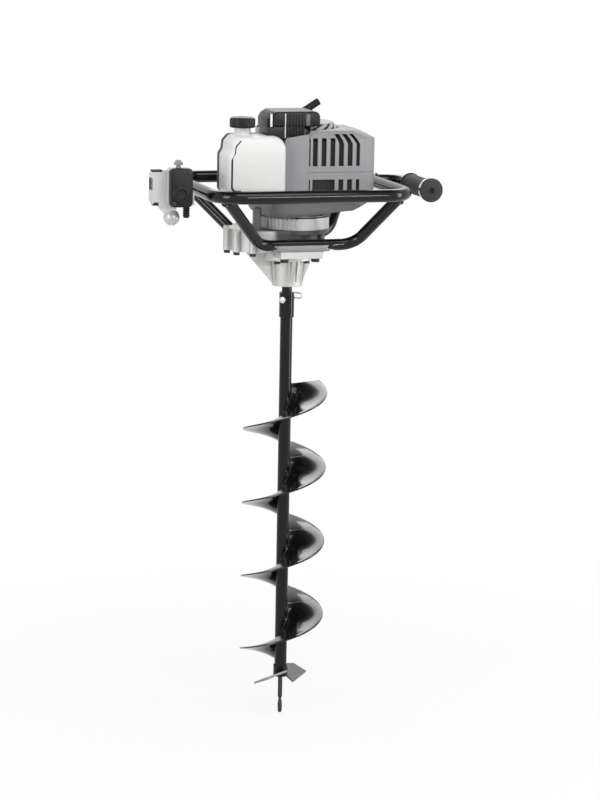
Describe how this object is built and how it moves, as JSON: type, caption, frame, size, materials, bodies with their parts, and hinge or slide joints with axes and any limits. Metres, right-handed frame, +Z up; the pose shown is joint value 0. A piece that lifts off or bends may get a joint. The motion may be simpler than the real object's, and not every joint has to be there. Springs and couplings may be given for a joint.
{
  "type": "petrol earth auger",
  "caption": "Hand-held engine-driven auger: tube loop frame with side grips, two-stroke engine and reduction gearbox over a pinned screw bit.",
  "frame": {"origin": "point of the bit, on the drive axis", "axes": "+Z up along the drive axis to the engine, +X to the right-hand grip, -Y towards the front"},
  "size_m": [0.52, 0.36, 1.11],
  "materials": {
    "frame_paint": "gloss black paint",
    "bit_paint": "gloss black paint",
    "cast_alloy": "bare casting",
    "steel": "ground steel",
    "blade_steel": "bare plate",
    "bright_steel": "plated",
    "dark_bolts": "blackened",
    "cover_grey": "satin moulding",
    "fan_grey": "satin moulding",
    "black_plastic": "satin moulding",
    "tank_white": "translucent moulding",
    "grip_rubber": "knurled",
    "lever_silver": "satin",
    "foam": "open foam",
    "ceramic": "glazed"
  },
  "bodies": {
    "head": {"frame_loop": "frame_paint", "front_stay": "frame_paint", "rear_stay": "frame_paint", "left_handle_tube": "frame_paint", "right_handle_tube": "frame_paint", "gearbox_nose": "cast_alloy", "gearbox_body": "cast_alloy", "gearbox_cover": "cast_alloy", "clutch_housing": "cast_alloy", "crankcase": "cast_alloy", "cylinder": "cast_alloy", "carburettor": "cast_alloy", "shaft_bearings": "steel", "output_bearings": "steel", "muffler": "steel", "oil_plug": "steel", "recoil_screws": "bright_steel", "throttle_screws": "bright_steel", "housing_bolts": "dark_bolts", "stay_bolts": "dark_bolts", "clutch_screws": "dark_bolts", "engine_cover": "cover_grey", "recoil_cover": "cover_grey", "fan_housing": "fan_grey", "air_filter_base": "black_plastic", "air_filter_cover": "black_plastic", "tank_bracket": "black_plastic", "throttle_front_shell": "black_plastic", "cable_ferrule": "black_plastic", "plug_boot": "black_plastic", "fuel_tank": "tank_white", "left_grip": "grip_rubber", "right_grip": "grip_rubber", "throttle_rear_shell": "lever_silver", "filter_element": "foam", "spark_plug": "ceramic"},
    "auger": {"pilot_point": "steel", "cutter_blades": "blade_steel", "auger_tube": "bit_paint", "flight_turn_1": "bit_paint", "flight_turn_2": "bit_paint", "flight_turn_3": "bit_paint", "flight_turn_4": "bit_paint", "coupling_sleeve": "bit_paint", "drive_pin": "bright_steel", "pin_clip": "bright_steel", "output_shaft": "steel", "output_gear": "steel"},
    "layshaft": {"layshaft": "steel", "lay_gear": "steel"},
    "drum": {"clutch_drum": "steel"},
    "crank": {"crankshaft": "steel", "flywheel": "cast_alloy", "clutch_shoes": "steel"},
    "piston": {"piston": "cast_alloy"},
    "choke": {"choke_lever": "black_plastic"},
    "starter_handle": {"recoil_handle": "black_plastic"},
    "cap": {"fuel_cap": "black_plastic"},
    "throttle": {"throttle_lever": "lever_silver"},
    "stop_button": {"stop_button": "bright_steel"}
  },
  "joints": [
    {"name": "auger_spin", "type": "hinge", "parent": "head", "child": "auger", "pos_m": [0, 0, 0.79], "axis": [0, 0, 1], "continuous": true},
    {"name": "lay_spin", "type": "hinge", "parent": "head", "child": "layshaft", "pos_m": [-0.0475, 0, 0.86], "axis": [0, 0, 1], "continuous": true},
    {"name": "drum_spin", "type": "hinge", "parent": "head", "child": "drum", "pos_m": [0.0125, 0, 0.89], "axis": [0, 0, 1], "continuous": true},
    {"name": "crank_spin", "type": "hinge", "parent": "head", "child": "crank", "pos_m": [0.0125, 0, 0.95], "axis": [0, 0, 1], "continuous": true},
    {"name": "piston_slide", "type": "slide", "parent": "head", "child": "piston", "axis": [1, 0, 0], "range_m": [0, 0.034]},
    {"name": "choke_turn", "type": "hinge", "parent": "head", "child": "choke", "pos_m": [-0.01775, -0.08, 1.025], "axis": [0, 1, 0], "range_deg": [-45, 45]},
    {"name": "starter_pull", "type": "slide", "parent": "head", "child": "starter_handle", "axis": [0, 0, 1], "range_m": [0, 0.6]},
    {"name": "cap_turn", "type": "hinge", "parent": "head", "child": "cap", "pos_m": [-0.1045, -0.0675, 1.077], "axis": [0, 0, 1], "range_deg": [0, 450]},
    {"name": "throttle_turn", "type": "hinge", "parent": "head", "child": "throttle", "pos_m": [-0.229, -0.083, 0.96], "axis": [0, 1, 0], "range_deg": [0, 25], "stiffness_Nm_per_rad": 0.8, "springref_deg": -20.05},
    {"name": "stop_press", "type": "slide", "parent": "head", "child": "stop_button", "axis": [0, 0, -1], "range_m": [0, 0.004], "stiffness_N_per_m": 600, "springref_m": -0.001}
  ],
  "couplings": [
    {"joint": "lay_spin", "follows": "auger_spin", "ratio": -4.4286},
    {"joint": "drum_spin", "follows": "auger_spin", "ratio": 31}
  ]
}
